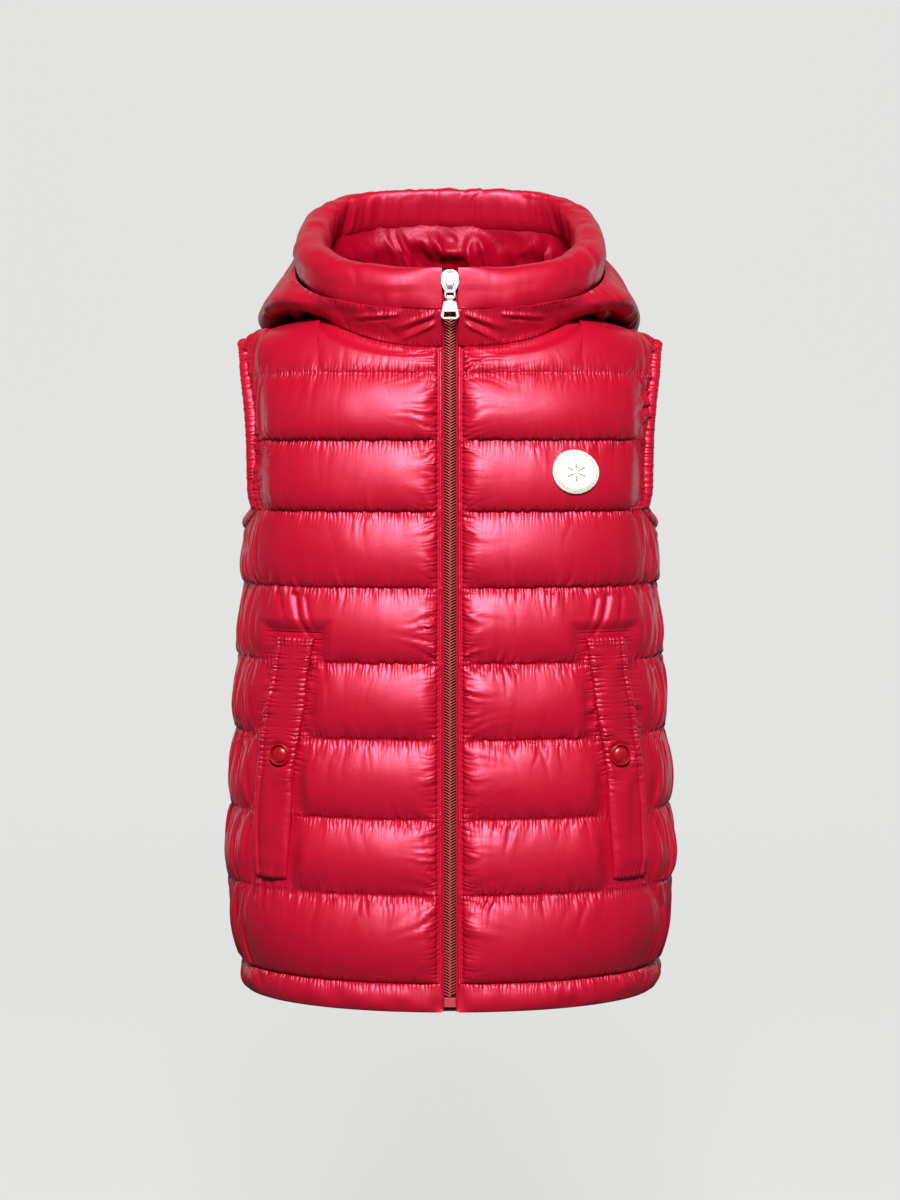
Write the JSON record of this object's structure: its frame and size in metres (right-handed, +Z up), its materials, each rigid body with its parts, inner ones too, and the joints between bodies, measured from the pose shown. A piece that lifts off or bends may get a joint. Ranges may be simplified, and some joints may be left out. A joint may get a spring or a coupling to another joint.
{
  "type": "hooded puffer vest",
  "caption": "Child's hooded puffer vest, zipped up: quilted baffles, gathered armhole and hem bands, slanted pocket welts with snaps, and a hood with a padded rim.",
  "frame": {"origin": "middle of the neck opening at shoulder height, where the wearer's shoulders carry the vest", "axes": "+Z up, the front faces -Y, +X is the wearer's left"},
  "size_m": [0.3118, 0.2644, 0.5618],
  "materials": {
    "shell": "glossy crimson downproof nylon",
    "lining": "shiny crimson lining nylon",
    "zip_tape": "matt woven tape",
    "zip_teeth": "rose-brown satin teeth",
    "zip_box": "dull red moulded plastic",
    "metal": "polished nickel",
    "snap": "glossy red lacquer",
    "patch": "cream felt"
  },
  "bodies": {
    "vest": {"front_right": "shell", "front_left": "shell", "back": "shell", "hem_band": "shell", "armhole_band_right": "shell", "armhole_band_left": "shell", "hood_side_right": "shell", "hood_side_left": "shell", "hood_centre": "shell", "hood_brim": "shell", "hood_lining": "lining", "pocket_welt_right": "shell", "pocket_welt_left": "shell", "snap_cap_right": "snap", "snap_cap_left": "snap", "zip_tape_right": "zip_tape", "zip_tape_left": "zip_tape", "zip_chain": "zip_teeth", "zip_box": "zip_box", "zip_slider": "metal", "chest_patch": "patch"},
    "pull_link": {"pull_link": "metal"},
    "pull_tab": {"pull_tab": "metal"}
  },
  "joints": [
    {"name": "link_swing", "type": "hinge", "parent": "vest", "child": "pull_link", "pos_m": [0, -0.096, 0.0136], "axis": [-1, 0, 0], "range_deg": [0, 150]},
    {"name": "tab_swing", "type": "hinge", "parent": "pull_link", "child": "pull_tab", "pos_m": [0, -0.096, 0.0036], "axis": [-1, 0, 0], "range_deg": [0, 90]}
  ]
}
